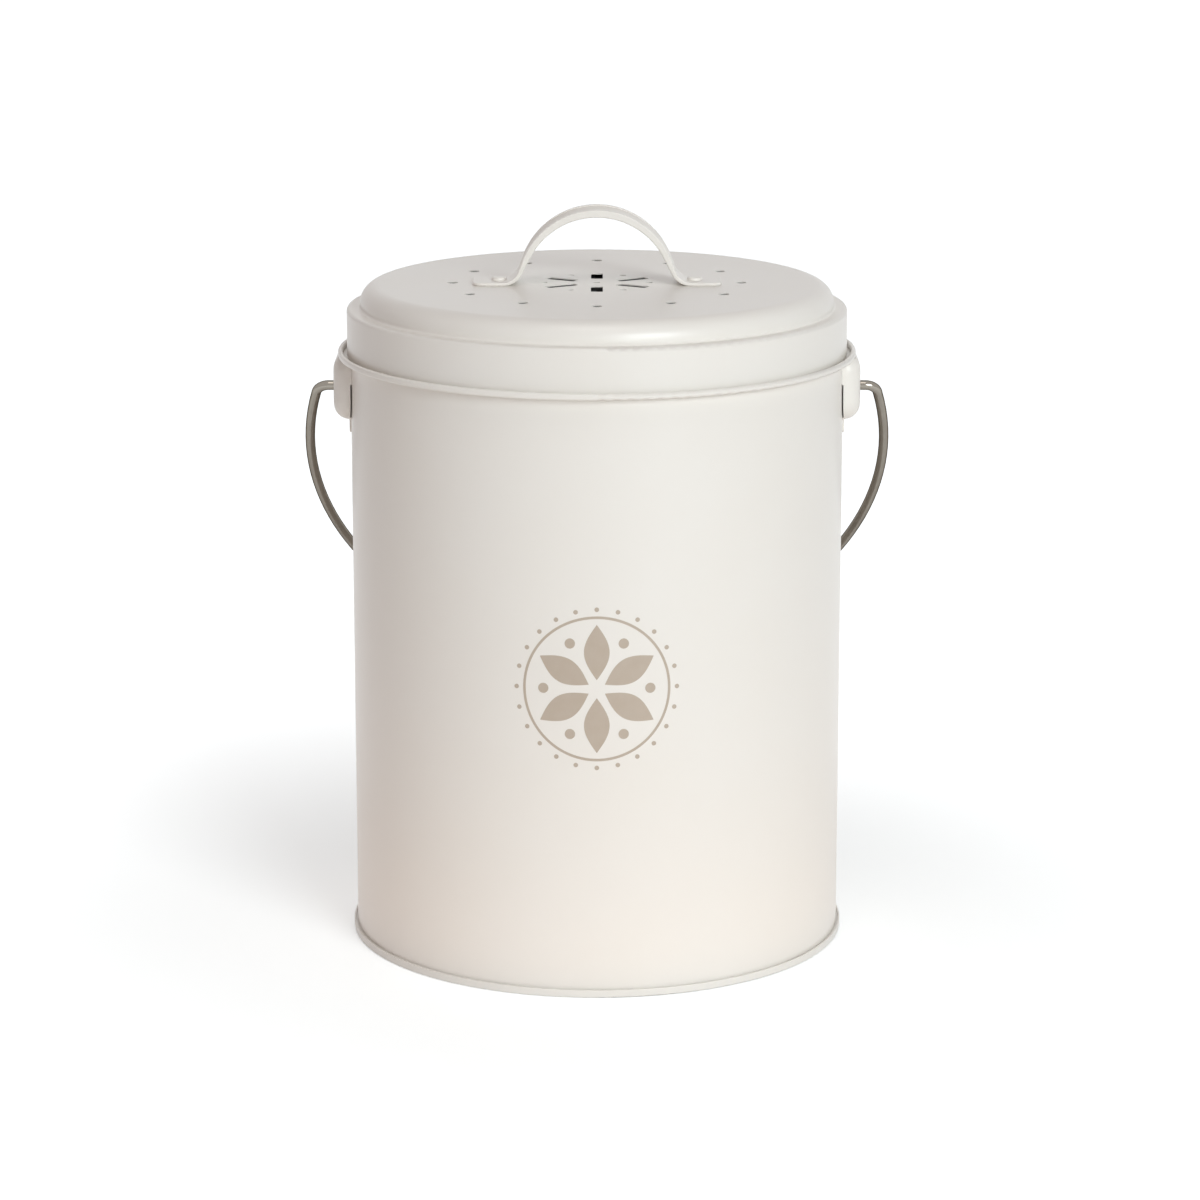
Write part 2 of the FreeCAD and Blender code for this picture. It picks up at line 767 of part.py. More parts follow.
def make_filter_clip(label, turn):
    """Bent spring clip: a flange welded under the lid and a leaf beside the tray."""
    body = new_body(label)
    sheet = size["clip_sheet"]
    leaf = tray_radius + size["clip_gap"]
    low = tray_lip_top + size["clip_gap"]
    flare = leaf + size["clip_lead"] / 2
    side = new_sketch(body, "clip_side", "XZ_Plane")
    outline(side, [
        (leaf, lid_under, size["clip_bend"] + sheet),
        (leaf, low + size["clip_lead"]),
        (flare, low),
        (flare + sheet, low),
        (leaf + sheet, low + size["clip_lead"]),
        (leaf + sheet, lid_under - sheet, size["clip_bend"]),
        (leaf + size["clip_flange"], lid_under - sheet),
        (leaf + size["clip_flange"], lid_under),
    ])
    pad(body, "clip", side, size["clip_width"], side="Symmetric")
    place(body, turn=as_size(turn))


def make_filter_tray():
    """Shallow round tray with a slotted floor and a lip to pull it down by."""
    body = new_body("filter_tray")
    outer = tray_radius
    inner = outer - size["tray_wall"]
    lip = outer + size["tray_lip"]
    top = lid_under - size["tray_top_gap"]
    revolve(body, "tray", [
        (ZERO, tray_bottom),
        (lip, tray_bottom, size["tray_round"]),
        (lip, tray_lip_top, size["tray_round"]),
        (outer, tray_lip_top),
        (outer, top),
        (inner, top),
        (inner, pad_bottom),
        (ZERO, pad_bottom),
    ])
    slot = new_sketch(body, "slot_outline", "XY_Plane")
    half = size["tray_slot_width"] / 2
    outline(slot, mirrored_corners([
        (half, size["tray_slot_inner"], size["tray_slot_round"]),
        (half, outer - size["tray_slot_margin"], size["tray_slot_round"]),
    ]))
    around(body, "slots", cut_through(body, "slot", slot), size["tray_slot_count"])


def make_charcoal_pad():
    """Round felt pad that fills the tray, clear of the rivet tails."""
    body = new_body("charcoal_pad")
    edge = tray_radius - size["tray_wall"] - size["pad_gap"]
    revolve(body, "pad", [
        (ZERO, pad_bottom),
        (edge, pad_bottom, size["pad_round"]),
        (edge, pad_top, size["pad_round"]),
        (ZERO, pad_top),
    ])


def export():
    """Stop if anything failed, and otherwise write each sub-part to its own file."""
    doc.recompute()
    for thing in doc.Objects:
        if "Invalid" in thing.State or "Error" in thing.State:
            raise RuntimeError(f"{thing.Name} failed: {thing.State}")
    os.makedirs("parts", exist_ok=True)
    for body in sub_parts:
        shape = body.Shape
        if shape.isNull() or not shape.isValid() or len(shape.Solids) != 1:
            raise RuntimeError(f"{body.Label} is not one valid solid")
        shape.exportStep(f"parts/{body.Label}.step")


make_bucket_wall()
make_bucket_base()
make_ear("ear_right", 0.0)
make_ear("ear_left", 180.0)
make_bail()
make_lid_shell()
make_lid_handle()
make_rivet("handle_rivet_right", rivet_x)
make_rivet("handle_rivet_left", -rivet_x)
for number, clip_turn in enumerate(CLIP_TURNS, 1):
    make_filter_clip(f"filter_clip_{number}", clip_turn)
make_filter_tray()
make_charcoal_pad()
export()
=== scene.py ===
"""Looks of the kitchen compost bucket: its paint, wire, filter and printed rosette, on a pale studio floor.

Metres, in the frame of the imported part: +Z up, the front towards -Y, the ears on the X axis.
"""

import math

import bmesh
import bpy
from bpy.props import FloatProperty, FloatVectorProperty, IntProperty, PointerProperty
from bpy.types import Operator, Panel, PropertyGroup
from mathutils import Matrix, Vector, noise


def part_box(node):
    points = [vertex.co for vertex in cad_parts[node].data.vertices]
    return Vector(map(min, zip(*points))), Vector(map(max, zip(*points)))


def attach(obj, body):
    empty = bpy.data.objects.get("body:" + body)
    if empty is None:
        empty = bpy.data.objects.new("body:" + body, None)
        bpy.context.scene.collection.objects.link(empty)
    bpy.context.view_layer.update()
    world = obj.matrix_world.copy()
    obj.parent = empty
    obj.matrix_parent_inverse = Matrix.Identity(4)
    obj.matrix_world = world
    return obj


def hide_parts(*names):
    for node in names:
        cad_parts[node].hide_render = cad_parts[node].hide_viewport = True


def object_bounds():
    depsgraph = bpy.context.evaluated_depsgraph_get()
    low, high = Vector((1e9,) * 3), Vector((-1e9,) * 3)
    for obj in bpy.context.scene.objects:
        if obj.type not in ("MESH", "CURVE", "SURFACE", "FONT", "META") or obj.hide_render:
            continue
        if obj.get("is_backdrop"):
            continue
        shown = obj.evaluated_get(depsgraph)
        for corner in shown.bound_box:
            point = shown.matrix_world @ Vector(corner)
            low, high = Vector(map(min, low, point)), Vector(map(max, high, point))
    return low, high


bl_info = {
    "name": "Compost bucket looks",
    "version": (1, 0, 0),
    "blender": (4, 5, 0),
    "location": "View3D > Sidebar > Bucket",
    "description": "Paints the packed compost bucket, prints its rosette and sets it on a studio floor",
    "category": "Object",
}

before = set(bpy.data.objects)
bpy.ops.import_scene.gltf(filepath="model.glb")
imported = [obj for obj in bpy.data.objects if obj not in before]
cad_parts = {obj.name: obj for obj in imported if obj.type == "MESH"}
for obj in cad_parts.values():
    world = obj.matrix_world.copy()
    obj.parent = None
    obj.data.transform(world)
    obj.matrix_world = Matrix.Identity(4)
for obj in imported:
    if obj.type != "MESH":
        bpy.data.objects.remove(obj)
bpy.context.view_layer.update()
FULL_TURN = 2 * math.pi
PAINTED_NODES = (
    "bucket_wall", "bucket_base", "ear_left", "ear_right",
    "lid_shell", "lid_handle", "handle_rivet_left", "handle_rivet_right",
)
CLIP_NODES = ("filter_clip_1", "filter_clip_2", "filter_clip_3")
WHITE = (1.0, 1.0, 1.0, 1.0)
# How the slow drift of tone and the fine grain are drawn from noise
DRIFT_DETAIL = 3.0
DRIFT_ROUGHNESS = 0.55
DRIFT_BAND = (0.3, 0.7)
GRAIN_DETAIL = 2.0
GRAIN_ROUGHNESS = 0.5
NOISE_MIDDLE = 0.5


def colour_property(name, description, default):
    return FloatVectorProperty(
        name=name, description=description, subtype="COLOR", size=3, min=0.0, max=1.0, default=default
    )


def length_property(name, description, default):
    return FloatProperty(
        name=name, description=description, unit="LENGTH", precision=5, min=0.0, default=default
    )


def share_property(name, description, default):
    return FloatProperty(
        name=name, description=description, subtype="FACTOR", min=0.0, max=1.0, default=default
    )


def level_property(name, description, default):
    return FloatProperty(name=name, description=description, min=0.0, default=default)


def angle_property(name, description, degrees):
    return FloatProperty(name=name, description=description, subtype="ANGLE", default=math.radians(degrees))


def power_property(name, description, watts):
    return FloatProperty(name=name, description=description, unit="POWER", min=0.0, default=watts)


class PaintSettings(PropertyGroup):
    """The powder coat on the bucket and the lid."""

    colour: colour_property("Paint colour", "Cream of the powder coat", (0.825, 0.80, 0.758))
    warm_colour: colour_property("Warm tone", "Tone that the cream drifts towards", (0.820, 0.790, 0.742))
    drift_size: length_property("Drift size", "Width of the patches of tone", 0.05)
    roughness: share_property("Roughness", "Satin of the powder coat", 0.32)
    roughness_spread: share_property("Roughness spread", "How much the satin varies", 0.06)
    peel_size: length_property("Orange peel size", "Width of the ripples in the coat", 0.0014)
    peel_depth: length_property("Orange peel depth", "Height of the ripples in the coat", 0.000006)


class WireSettings(PropertyGroup):
    """The bail's wire and the filter's spring clips."""

    wire_colour: colour_property("Wire colour", "Nickel plate of the bail", (0.32, 0.293, 0.255))
    wire_shade: colour_property("Wire shade", "Duller patches of the plate", (0.27, 0.245, 0.212))
    # Painted shade: a near-black edge tint that darkens the wire along its outline, in place of dark
    # surroundings reflected there
    wire_edge: colour_property("Wire edge", "Plate seen at a flat angle", (0.07, 0.06, 0.05))
    wire_roughness: share_property("Wire roughness", "Satin of the plate", 0.12)
    clip_colour: colour_property("Clip colour", "Plain spring steel", (0.55, 0.54, 0.52))
    clip_shade: colour_property("Clip shade", "Duller patches of the steel", (0.46, 0.45, 0.43))
    clip_roughness: share_property("Clip roughness", "Satin of the rolled steel", 0.34)
    roughness_spread: share_property("Roughness spread", "How much the satin varies", 0.10)
    drift_size: length_property("Drift size", "Width of the patches of tone", 0.012)
    mark_size: length_property("Mark size", "Width of the fine marks in the metal", 0.0003)
    mark_depth: length_property("Mark depth", "Height of those marks", 0.000003)


class FilterSettings(PropertyGroup):
    """The tray and the charcoal felt under the lid."""

    tray_colour: colour_property("Tray colour", "Moulded plastic of the tray", (0.10, 0.10, 0.10))
    tray_shade: colour_property("Tray shade", "Darker patches of the plastic", (0.07, 0.07, 0.07))
    tray_roughness: share_property("Tray roughness", "Matt of the moulding", 0.55)
    tray_grain: length_property("Tray grain", "Width of the moulded grain", 0.0005)
    tray_grain_depth: length_property("Tray grain depth", "Height of the moulded grain", 0.00002)
    roughness_spread: share_property("Roughness spread", "How much the matt varies", 0.10)
    drift_size: length_property("Drift size", "Width of the patches of tone", 0.02)
    felt_colour: colour_property("Felt colour", "Charcoal in the felt", (0.018, 0.018, 0.020))
    felt_shade: colour_property("Felt shade", "Paler fibres of the felt", (0.050, 0.050, 0.052))
    felt_roughness: share_property("Felt roughness", "Matt of the felt", 0.9)
    felt_fibre: length_property("Felt fibre", "Width of a tuft of fibres", 0.0008)
    felt_fibre_depth: length_property("Felt fibre depth", "Height of a tuft of fibres", 0.0003)
    felt_rise: length_property("Felt rise", "How uneven the felt's faces are", 0.0005)
    felt_edge: length_property("Felt edge", "Rounding of the cut edge", 0.0016)
    felt_sheen: share_property("Felt sheen", "Soft light on the fibres", 0.25)
    felt_fill: share_property("Felt fill", "How tight the felt is", 0.9)


class RosetteSettings(PropertyGroup):
    """The rosette printed on the front of the bucket."""

    ink_colour: colour_property("Ink colour", "Taupe of the print", (0.474, 0.396, 0.320))
    ink_shade: colour_property("Ink shade", "Thinner patches of the ink", (0.492, 0.418, 0.345))
    ink_roughness: share_property("Ink roughness", "Matt of the ink", 0.48)
    drift_size: length_property("Drift size", "Width of the patches of tone", 0.004)
    wall_radius: length_property("Wall radius", "Outer radius of the wall that it is printed on", 0.088)
    film: length_property("Ink film", "How far the ink stands on the paint", 0.00003)
    root: length_property("Ink root", "How far the film reaches into the paint", 0.00012)
    height: length_property("Centre height", "Height of the rosette's middle above the floor", 0.111)
    petals: IntProperty(name="Petals", description="Petals of the rosette", min=3, max=24, default=6)
    petal_start: length_property("Petal start", "Radius at which a petal begins", 0.0032)
    petal_length: length_property("Petal length", "Length of a petal", 0.0195)
    petal_width: length_property("Petal width", "Width of a petal at its middle", 0.0088)
    bud_place: length_property("Bud place", "Radius of the dots between the petals", 0.0185)
    bud_size: length_property("Bud size", "Width of those dots", 0.0036)
    ring_radius: length_property("Ring radius", "Radius of the line round the petals", 0.0252)
    ring_width: length_property("Ring width", "Width of that line", 0.0009)
    beads: IntProperty(name="Beads", description="Dots outside the line", min=3, max=96, default=24)
    bead_place: length_property("Bead place", "Radius of the dots outside the line", 0.0280)
    bead_size: length_property("Bead size", "Width of those dots", 0.0016)


class StageSettings(PropertyGroup):
    """Floor, lights and camera."""

    floor_colour: colour_property("Floor colour", "Pale floor", (0.92, 0.92, 0.92))
    glow_colour: colour_property("Glow colour", "Tint that the camera adds to the floor", (0.925, 0.98, 1.0))
    floor_size: length_property("Floor size", "Width of the floor", 16.0)
    near_glow: share_property("Near glow", "What the camera adds to the floor round the bucket", 0.40)
    far_glow: share_property("Far glow", "What it adds to the floor farther off", 0.82)
    near_reach: length_property("Near reach", "How far the floor round the bucket goes", 0.10)
    far_start: length_property("Far start", "Where the farther floor begins", 0.42)
    bounce_colour: colour_property("Bounce colour", "Light that the floor throws up", (1.0, 0.74, 0.58))
    bounce_strength: share_property("Bounce strength", "Level of that light beside the wall", 0.56)
    bounce_start: length_property("Bounce start", "Where that light begins", 0.10)
    bounce_reach: length_property("Bounce reach", "Where that light ends", 0.42)
    fill_colour: colour_property("Fill colour", "Soft light from all round", (1.0, 0.865, 0.825))
    fill_strength: share_property("Fill strength", "Level of the soft light", 0.367)
    fill_lean: share_property("Fill lean", "How much stronger the soft light is from the left", 0.26)
    fill_drop: share_property("Fill drop", "How much weaker the soft light is from above", 0.40)
    back_colour: colour_property("Back colour", "Soft light from behind", (0.82, 0.95, 1.0))
    back_strength: level_property("Back strength", "Level of that light", 3.9)
    back_focus: level_property("Back focus", "How narrow that light is", 15.0)
    key_colour: colour_property("Key colour", "Light from the front right", (0.90, 0.98, 1.0))
    key_power: power_property("Key power", "Power of the key light", 93.0)
    key_width: length_property("Key width", "Width of the key light", 1.9)
    key_height: length_property("Key height", "Height of the key light", 1.9)
    key_distance: length_property("Key distance", "From the bucket to the key light", 4.0)
    key_side: angle_property("Key side", "How far the key light stands to the right", 27)
    key_rise: angle_property("Key rise", "How high the key light stands", 19)
    top_colour: colour_property("Top colour", "Small light from above", (1.0, 0.96, 0.93))
    top_power: power_property("Top power", "Power of the top light", 2.2)
    top_width: length_property("Top width", "Width of the top light", 0.6)
    top_height: length_property("Top height", "Height of the top light", 0.6)
    top_distance: length_property("Top distance", "From the bucket to the top light", 1.3)
    top_side: angle_property("Top side", "How far the top light stands to the right", 0)
    top_rise: angle_property("Top rise", "How high the top light stands", 68)
    camera_place: FloatVectorProperty(
        name="Camera place", description="Where the camera stands", subtype="TRANSLATION", size=3,
        default=(0.0011, -1.46535, 0.47285),
    )
    camera_pitch: angle_property("Camera pitch", "How far the camera looks down", 13.49)
    camera_lens: FloatProperty(name="Lens", description="Focal length in mm", min=1.0, default=124.68)
    camera_sensor: FloatProperty(name="Sensor", description="Sensor width in mm", min=1.0, default=36.0)


def add(tree, kind, inputs=None, **settings):
    """Add a node, set its options, and set or link its inputs by name or number."""
    made = tree.nodes.new(kind)
    for name, value in settings.items():
        setattr(made, name, value)
    for key, value in (inputs or {}).items():
        if isinstance(value, bpy.types.NodeSocket):
            tree.links.new(value, made.inputs[key])
        else:
            made.inputs[key].default_value = value
    return made


def calc(tree, operation, *values):
    """A sum of one, two or three values, as an output socket."""
    return add(tree, "ShaderNodeMath", dict(enumerate(values)), operation=operation).outputs[0]


def mix_colours(tree, share, first, second):
    """Two colours mixed by a share, as an output socket."""
    made = add(tree, "ShaderNodeMix", data_type="RGBA")
    sockets = [socket for socket in made.inputs if socket.enabled]
    for socket, value in zip(sockets, (share, first, second)):
        tree.links.new(value, socket)
    return next(socket for socket in made.outputs if socket.enabled)


def new_group(name, kind, inputs, outputs):
    """An empty node group with named sockets, and its two end nodes."""
    group = bpy.data.node_groups.new(name, kind)
    for socket, socket_type in inputs:
        group.interface.new_socket(socket, in_out="INPUT", socket_type=f"NodeSocket{socket_type}")
    for socket, socket_type in outputs:
        group.interface.new_socket(socket, in_out="OUTPUT", socket_type=f"NodeSocket{socket_type}")
    return group, group.nodes.new("NodeGroupInput").outputs, group.nodes.new("NodeGroupOutput").inputs


def make_tone_drift():
    """Shader group: a colour that drifts slowly towards another, with the mask of the drift."""
    group, given, result = new_group(
        "tone_drift", "ShaderNodeTree",
        [("Vector", "Vector"), ("Colour", "Color"), ("Shade", "Color"), ("Size", "Float")],
        [("Colour", "Color"), ("Mask", "Float")],
    )
    cloud = add(group, "ShaderNodeTexNoise", {
        "Vector": given["Vector"], "Scale": calc(group, "DIVIDE", 1.0, given["Size"]),
        "Detail": DRIFT_DETAIL, "Roughness": DRIFT_ROUGHNESS,
    })
    low, high = DRIFT_BAND
    mask = add(group, "ShaderNodeMapRange", {
        "Value": cloud.outputs["Fac"], "From Min": low, "From Max": high,
    })
    colour = mix_colours(group, mask.outputs["Result"], given["Colour"], given["Shade"])
    group.links.new(colour, result["Colour"])
    group.links.new(mask.outputs["Result"], result["Mask"])
    return group


def make_surface_grain():
    """Shader group: fine grain as a height, and a roughness that varies with it."""
    group, given, result = new_group(
        "surface_grain", "ShaderNodeTree",
        [("Vector", "Vector"), ("Size", "Float"), ("Roughness", "Float"), ("Spread", "Float")],
        [("Height", "Float"), ("Roughness", "Float")],
    )
    grain = add(group, "ShaderNodeTexNoise", {
        "Vector": given["Vector"], "Scale": calc(group, "DIVIDE", 1.0, given["Size"]),
        "Detail": GRAIN_DETAIL, "Roughness": GRAIN_ROUGHNESS,
    })
    swing = calc(group, "SUBTRACT", grain.outputs["Fac"], NOISE_MIDDLE)
    varied = calc(group, "MULTIPLY_ADD", swing, given["Spread"], given["Roughness"])
    group.links.new(grain.outputs["Fac"], result["Height"])
    group.links.new(varied, result["Roughness"])
    return group


def shared_group(name):
    """A shared effect, made when it is first asked for."""
    makers = {"tone_drift": make_tone_drift, "surface_grain": make_surface_grain}
    return bpy.data.node_groups.get(name) or makers[name]()


def solid_colour(colour):
    return (*colour, 1.0)


def make_finish(name, colour, shade, drift_size, roughness, spread, grain_size, grain_depth, **constants):
    """A material of one finish: its tone drifts, and fine grain gives its bump and its roughness."""
    material = bpy.data.materials.new(name)
    material.use_nodes = True
    tree = material.node_tree
    tree.nodes.clear()
    place = add(tree, "ShaderNodeTexCoord").outputs["Object"]
    tone = add(tree, "ShaderNodeGroup", node_tree=shared_group("tone_drift"))
    grain = add(tree, "ShaderNodeGroup", node_tree=shared_group("surface_grain"))
    for group, values in (
        (tone, {"Colour": solid_colour(colour), "Shade": solid_colour(shade), "Size": drift_size}),
        (grain, {"Size": grain_size, "Roughness": roughness, "Spread": spread}),
    ):
        tree.links.new(place, group.inputs["Vector"])
        for key, value in values.items():
            group.inputs[key].default_value = value
    bump = add(tree, "ShaderNodeBump", {"Height": grain.outputs["Height"], "Distance": grain_depth})
    shader = add(tree, "ShaderNodeBsdfPrincipled", {
        "Base Color": tone.outputs["Colour"], "Roughness": grain.outputs["Roughness"],
        "Normal": bump.outputs["Normal"], **constants,
    })
    add(tree, "ShaderNodeOutputMaterial", {"Surface": shader.outputs["BSDF"]})
    return material


def finish_nodes(nodes, material):
    """Give CAD nodes a material."""
    for name in nodes:
        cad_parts[name].material_slots[0].material = material


def new_piece(name, mesh):
    """An object for a mesh, at the origin."""
    piece = bpy.data.objects.new(name, mesh)
    bpy.context.scene.collection.objects.link(piece)
    return piece


class BUCKET_OT_paint(Operator):
    """Powder coat the bucket and the lid"""

    bl_idname = "bucket.paint"
    bl_label = "Paint bucket and lid"

    def execute(self, context):
        paint = context.scene.bucket_paint
        coat = make_finish(
            "cream_powder_coat", paint.colour, paint.warm_colour, paint.drift_size,
            paint.roughness, paint.roughness_spread, paint.peel_size, paint.peel_depth,
        )
        finish_nodes(PAINTED_NODES, coat)
        return {"FINISHED"}


class BUCKET_OT_plate_wire(Operator):
    """Plate the bail's wire and leave the filter's clips plain"""

    bl_idname = "bucket.plate_wire"
    bl_label = "Plate bail and clips"

    def execute(self, context):
        wire = context.scene.bucket_wire
        shared = (wire.roughness_spread, wire.mark_size, wire.mark_depth)
        # The nickel's specular tint is the painted edge shade, a painted dark reflection along the wire's
        # outline
        plate = make_finish(
            "nickel_plate", wire.wire_colour, wire.wire_shade, wire.drift_size,
            wire.wire_roughness, *shared, Metallic=1.0, **{"Specular Tint": solid_colour(wire.wire_edge)},
        )
        spring = make_finish(
            "spring_steel", wire.clip_colour, wire.clip_shade, wire.drift_size,
            wire.clip_roughness, *shared, Metallic=1.0,
        )
        finish_nodes(("bail_handle",), plate)
        finish_nodes(CLIP_NODES, spring)
        return {"FINISHED"}


class BUCKET_OT_fit_filter(Operator):
    """Finish the filter's tray and lay the charcoal felt in it"""

    bl_idname = "bucket.fit_filter"
    bl_label = "Fit filter"

    RINGS = 46
    SPOKES = 180
    EDGE_RINGS = 6
    TUFT_SIZE = 0.006
    TUFT_SHARE = 0.6

    def felt_profile(self, radius, bottom, top, edge):
        """Radius and height along the pad's outline, from its floor's middle to its top's."""
        flat = radius - edge
        floor = [(flat * i / self.RINGS, bottom) for i in range(1, self.RINGS)]
        corner = [math.pi / 2 * i / self.EDGE_RINGS for i in range(self.EDGE_RINGS + 1)]
        low = [(flat + edge * math.sin(a), bottom + edge * (1 - math.cos(a))) for a in corner]
        high = [(r, top + bottom - z) for r, z in reversed(low)]
        return floor + low + high + [(r, top) for r, z in reversed(floor)]

    def execute(self, context):
        settings = context.scene.bucket_filter
        tray = make_finish(
            "tray_moulding", settings.tray_colour, settings.tray_shade, settings.drift_size,
            settings.tray_roughness, settings.roughness_spread,
            settings.tray_grain, settings.tray_grain_depth,
        )
        finish_nodes(("filter_tray",), tray)
        felt = make_finish(
            "charcoal_felt", settings.felt_colour, settings.felt_shade, settings.felt_fibre,
            settings.felt_roughness, settings.roughness_spread,
            settings.felt_fibre, settings.felt_fibre_depth,
            **{"Sheen Weight": settings.felt_sheen},
        )
        low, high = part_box("charcoal_pad")
        rise = settings.felt_rise
        pad_radius = (high.x - low.x) / 2
        profile = self.felt_profile(pad_radius - rise, low.z + rise, high.z - rise, settings.felt_edge)
        bm = bmesh.new()
        rings = []
        for radius, height in profile:
            ring = []
            for i in range(self.SPOKES):
                angle = FULL_TURN * i / self.SPOKES
                point = Vector((radius * math.cos(angle), radius * math.sin(angle), height))
                tuft = noise.noise_vector(point / self.TUFT_SIZE) * rise * self.TUFT_SHARE
                ring.append(bm.verts.new(point + tuft))
            rings.append(ring)
        for lower, upper in zip(rings, rings[1:]):
            for i in range(self.SPOKES):
                j = (i + 1) % self.SPOKES
                bm.faces.new((lower[i], lower[j], upper[j], upper[i]))
        for ring, height in ((rings[0], profile[0][1]), (rings[-1], profile[-1][1])):
            middle = bm.verts.new((0.0, 0.0, height))
            for i in range(self.SPOKES):
                bm.faces.new((ring[i], ring[(i + 1) % self.SPOKES], middle))
        bmesh.ops.recalc_face_normals(bm, faces=bm.faces)
        mesh = bpy.data.meshes.new("charcoal_felt_pad")
        bm.to_mesh(mesh)
        bm.free()
        mesh.shade_smooth()
        mesh.materials.append(felt)
        piece = new_piece("charcoal_felt_pad", mesh)
        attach(piece, "filter")
        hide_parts("charcoal_pad")
        return {"FINISHED"}


class BUCKET_OT_print_rosette(Operator):
    """Print a rosette on the front of the bucket"""

    bl_idname = "bucket.print_rosette"
    bl_label = "Print rosette"

    SIZES = (
        "wall_radius", "film", "height", "petals", "petal_start", "petal_length", "petal_width", "bud_place",
        "bud_size", "ring_radius", "ring_width", "beads", "bead_place", "bead_size",
    )
    PETAL_STEPS = 25
    PETAL_ROWS = 7
    RING_STEPS = 121
    RING_ROWS = 2
    HALF_SHEET = 0.5
    DOT_CORNERS = 20
    SEAM = 1e-6

    def spaced_dots(self, tree, count, place, dot_size, turn):
        """Dots of one size, evenly round the middle."""
        points = add(tree, "GeometryNodeMeshCircle", {"Vertices": count, "Radius": place})
        dot = add(tree, "GeometryNodeMeshCircle", {
            "Vertices": self.DOT_CORNERS, "Radius": calc(tree, "DIVIDE", dot_size, 2.0),
        }, fill_type="NGON")
        spread = add(tree, "GeometryNodeInstanceOnPoints", {
            "Points": points.outputs["Mesh"], "Instance": dot.outputs["Mesh"],
        })
        facing = add(tree, "ShaderNodeCombineXYZ", {"Z": turn})
        turned = add(tree, "GeometryNodeTransform", {
            "Geometry": add(tree, "GeometryNodeRealizeInstances", {
                "Geometry": spread.outputs["Instances"],
            }).outputs["Geometry"],
            "Rotation": facing.outputs["Vector"],
        })
        return turned.outputs["Geometry"]

    def placed(self, tree, mesh, x, y, z=0.0):
        """A mesh whose points go to x, y and z."""
        spot = add(tree, "ShaderNodeCombineXYZ", {"X": x, "Y": y, "Z": z})
        moved = add(tree, "GeometryNodeSetPosition", {"Geometry": mesh, "Position": spot.outputs["Vector"]})
        return moved.outputs["Geometry"]

    def petals(self, tree, given, across):
        """Pointed petals, evenly round the middle."""
        sheet = add(tree, "GeometryNodeMeshGrid", {
            "Size X": 1.0, "Size Y": 1.0, "Vertices X": self.PETAL_STEPS, "Vertices Y": self.PETAL_ROWS,
        })
        along = calc(tree, "ADD", across["X"], self.HALF_SHEET)
        swell = calc(tree, "SINE", calc(tree, "MULTIPLY", along, math.pi))
        wide = calc(tree, "MULTIPLY", calc(tree, "MULTIPLY", across["Y"], swell), given["petal_width"])
        outward = calc(tree, "MULTIPLY", along, given["petal_length"])
        petal = self.placed(tree, sheet.outputs["Mesh"], outward, wide)
        points = add(tree, "GeometryNodeMeshCircle", {
            "Vertices": given["petals"], "Radius": given["petal_start"],
        })
        facing = add(tree, "ShaderNodeCombineXYZ", {"Z": calc(tree, "ARCTAN2", across["Y"], across["X"])})
        spread = add(tree, "GeometryNodeInstanceOnPoints", {
            "Points": points.outputs["Mesh"], "Instance": petal, "Rotation": facing.outputs["Vector"],
        })
        upright = add(tree, "GeometryNodeTransform", {
            "Geometry": add(tree, "GeometryNodeRealizeInstances", {
                "Geometry": spread.outputs["Instances"],
            }).outputs["Geometry"],
            "Rotation": (0.0, 0.0, math.pi / 2),
        })
        return upright.outputs["Geometry"]

    def ring(self, tree, given, across):
        """A line round the petals."""
        sheet = add(tree, "GeometryNodeMeshGrid", {
            "Size X": 1.0, "Size Y": 1.0, "Vertices X": self.RING_STEPS, "Vertices Y": self.RING_ROWS,
        })
        turn = calc(tree, "MULTIPLY", across["X"], FULL_TURN)
        radius = calc(tree, "MULTIPLY_ADD", across["Y"], given["ring_width"], given["ring_radius"])
        x = calc(tree, "MULTIPLY", calc(tree, "SINE", turn), radius)
        y = calc(tree, "MULTIPLY", calc(tree, "COSINE", turn), radius)
        return self.placed(tree, sheet.outputs["Mesh"], x, y)

    def make_tree(self, ink):
        """Geometry nodes: petals, dots and a line, drawn flat and then wrapped round the wall."""
        kinds = [(name, "Int" if name in ("petals", "beads") else "Float") for name in self.SIZES]
        tree, given, result = new_group(
            "rosette_print", "GeometryNodeTree",
            [("Geometry", "Geometry"), *kinds], [("Geometry", "Geometry")],
        )
        position = add(tree, "GeometryNodeInputPosition").outputs["Position"]
        across = add(tree, "ShaderNodeSeparateXYZ", {"Vector": position}).outputs
        half_step = calc(tree, "DIVIDE", math.pi, given["petals"])
        flat = add(tree, "GeometryNodeJoinGeometry")
        for mesh in (
            self.spaced_dots(tree, given["beads"], given["bead_place"], given["bead_size"], 0.0),
            self.spaced_dots(
                tree, given["petals"], given["bud_place"], given["bud_size"],
                calc(tree, "ADD", half_step, math.pi / 2),
            ),
            self.ring(tree, given, across),
            self.petals(tree, given, across),
        ):
            tree.links.new(mesh, flat.inputs["Geometry"])
        whole = add(tree, "GeometryNodeMergeByDistance", {
            "Geometry": flat.outputs["Geometry"], "Distance": self.SEAM,
        })
        turn = calc(tree, "DIVIDE", across["X"], given["wall_radius"])
        skin = calc(tree, "ADD", given["wall_radius"], given["film"])
        wrapped = self.placed(
            tree, whole.outputs["Geometry"],
            calc(tree, "MULTIPLY", calc(tree, "SINE", turn), skin),
            calc(tree, "MULTIPLY", calc(tree, "COSINE", turn), calc(tree, "MULTIPLY", skin, -1.0)),
            calc(tree, "ADD", across["Y"], given["height"]),
        )
        realised = add(tree, "GeometryNodeRealizeInstances", {"Geometry": wrapped})
        inked = add(tree, "GeometryNodeSetMaterial", {
            "Geometry": realised.outputs["Geometry"], "Material": ink,
        })
        tree.links.new(inked.outputs["Geometry"], result["Geometry"])
        return tree

